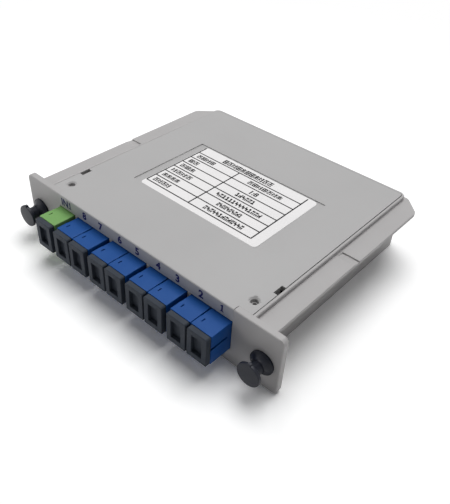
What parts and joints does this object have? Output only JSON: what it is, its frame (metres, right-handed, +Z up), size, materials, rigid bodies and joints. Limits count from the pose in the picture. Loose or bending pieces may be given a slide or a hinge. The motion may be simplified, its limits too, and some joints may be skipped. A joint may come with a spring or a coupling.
{
  "type": "fibre optic splitter cassette",
  "caption": "Flat cassette splitter with a row of square fibre adapters on its front panel, each with a dust cap, and a push latch in each ear.",
  "frame": {"origin": "mid-width, on the underside, in the plane of the rear face of the ears", "axes": "+X across the front towards output port 1, +Y to the rear, +Z up from the underside"},
  "size_m": [0.13, 0.1118, 0.025],
  "materials": {
    "housing_grey": "fine moulded texture",
    "lid_grey": "fine moulded texture",
    "label_paper": "printed rules",
    "adapter_blue": "satin",
    "adapter_green": "satin",
    "cap_charcoal": "satin",
    "latch_black": "satin",
    "holder_white": "satin",
    "plug_blue": "satin",
    "plug_green": "satin",
    "boot_white": "satin",
    "ceramic_white": "ground",
    "flange_metal": "turned",
    "module_steel": "drawn",
    "end_plug_rubber": "matt",
    "chip_glass": "ground",
    "fanout_black": "matt",
    "buffer_white": "satin",
    "ribbon_clear": "satin"
  },
  "bodies": {
    "housing": {"adapter_1": "adapter_blue", "adapter_2": "adapter_blue", "adapter_3": "adapter_blue", "adapter_4": "adapter_blue", "adapter_5": "adapter_blue", "adapter_6": "adapter_blue", "adapter_7": "adapter_blue", "adapter_8": "adapter_blue", "adapter_in": "adapter_green", "base_tray": "housing_grey", "end_plug_in": "end_plug_rubber", "end_plug_out": "end_plug_rubber", "fanout_block": "fanout_black", "ferrule_flanges": "flange_metal", "ferrules": "ceramic_white", "fibre_arrays": "chip_glass", "fibre_ribbon": "ribbon_clear", "grommet_left": "latch_black", "grommet_right": "latch_black", "input_pigtail": "buffer_white", "label": "label_paper", "output_pigtails": "buffer_white", "plug_boots": "boot_white", "plug_grip_1": "plug_blue", "plug_grip_2": "plug_blue", "plug_grip_3": "plug_blue", "plug_grip_4": "plug_blue", "plug_grip_5": "plug_blue", "plug_grip_6": "plug_blue", "plug_grip_7": "plug_blue", "plug_grip_8": "plug_blue", "plug_grip_in": "plug_green", "sleeve_holder_1": "holder_white", "sleeve_holder_2": "holder_white", "sleeve_holder_3": "holder_white", "sleeve_holder_4": "holder_white", "sleeve_holder_5": "holder_white", "sleeve_holder_6": "holder_white", "sleeve_holder_7": "holder_white", "sleeve_holder_8": "holder_white", "sleeve_holder_in": "holder_white", "splitter_case": "module_steel", "splitter_chip": "chip_glass", "top_cover": "lid_grey"},
    "cap_in_body": {"cap_in": "cap_charcoal"},
    "cap_8_body": {"cap_8": "cap_charcoal"},
    "cap_7_body": {"cap_7": "cap_charcoal"},
    "cap_6_body": {"cap_6": "cap_charcoal"},
    "cap_5_body": {"cap_5": "cap_charcoal"},
    "cap_4_body": {"cap_4": "cap_charcoal"},
    "cap_3_body": {"cap_3": "cap_charcoal"},
    "cap_2_body": {"cap_2": "cap_charcoal"},
    "cap_1_body": {"cap_1": "cap_charcoal"},
    "plunger_left_body": {"plunger_left": "latch_black"},
    "plunger_right_body": {"plunger_right": "latch_black"}
  },
  "joints": [
    {"name": "cap_in_pull", "type": "slide", "parent": "housing", "child": "cap_in_body", "axis": [0, -1, 0], "range_m": [0, 0.025]},
    {"name": "cap_8_pull", "type": "slide", "parent": "housing", "child": "cap_8_body", "axis": [0, -1, 0], "range_m": [0, 0.025]},
    {"name": "cap_7_pull", "type": "slide", "parent": "housing", "child": "cap_7_body", "axis": [0, -1, 0], "range_m": [0, 0.025]},
    {"name": "cap_6_pull", "type": "slide", "parent": "housing", "child": "cap_6_body", "axis": [0, -1, 0], "range_m": [0, 0.025]},
    {"name": "cap_5_pull", "type": "slide", "parent": "housing", "child": "cap_5_body", "axis": [0, -1, 0], "range_m": [0, 0.025]},
    {"name": "cap_4_pull", "type": "slide", "parent": "housing", "child": "cap_4_body", "axis": [0, -1, 0], "range_m": [0, 0.025]},
    {"name": "cap_3_pull", "type": "slide", "parent": "housing", "child": "cap_3_body", "axis": [0, -1, 0], "range_m": [0, 0.025]},
    {"name": "cap_2_pull", "type": "slide", "parent": "housing", "child": "cap_2_body", "axis": [0, -1, 0], "range_m": [0, 0.025]},
    {"name": "cap_1_pull", "type": "slide", "parent": "housing", "child": "cap_1_body", "axis": [0, -1, 0], "range_m": [0, 0.025]},
    {"name": "plunger_left_push", "type": "slide", "parent": "housing", "child": "plunger_left_body", "axis": [0, 1, 0], "range_m": [0, 0.0029]},
    {"name": "plunger_right_push", "type": "slide", "parent": "housing", "child": "plunger_right_body", "axis": [0, 1, 0], "range_m": [0, 0.0029]}
  ]
}
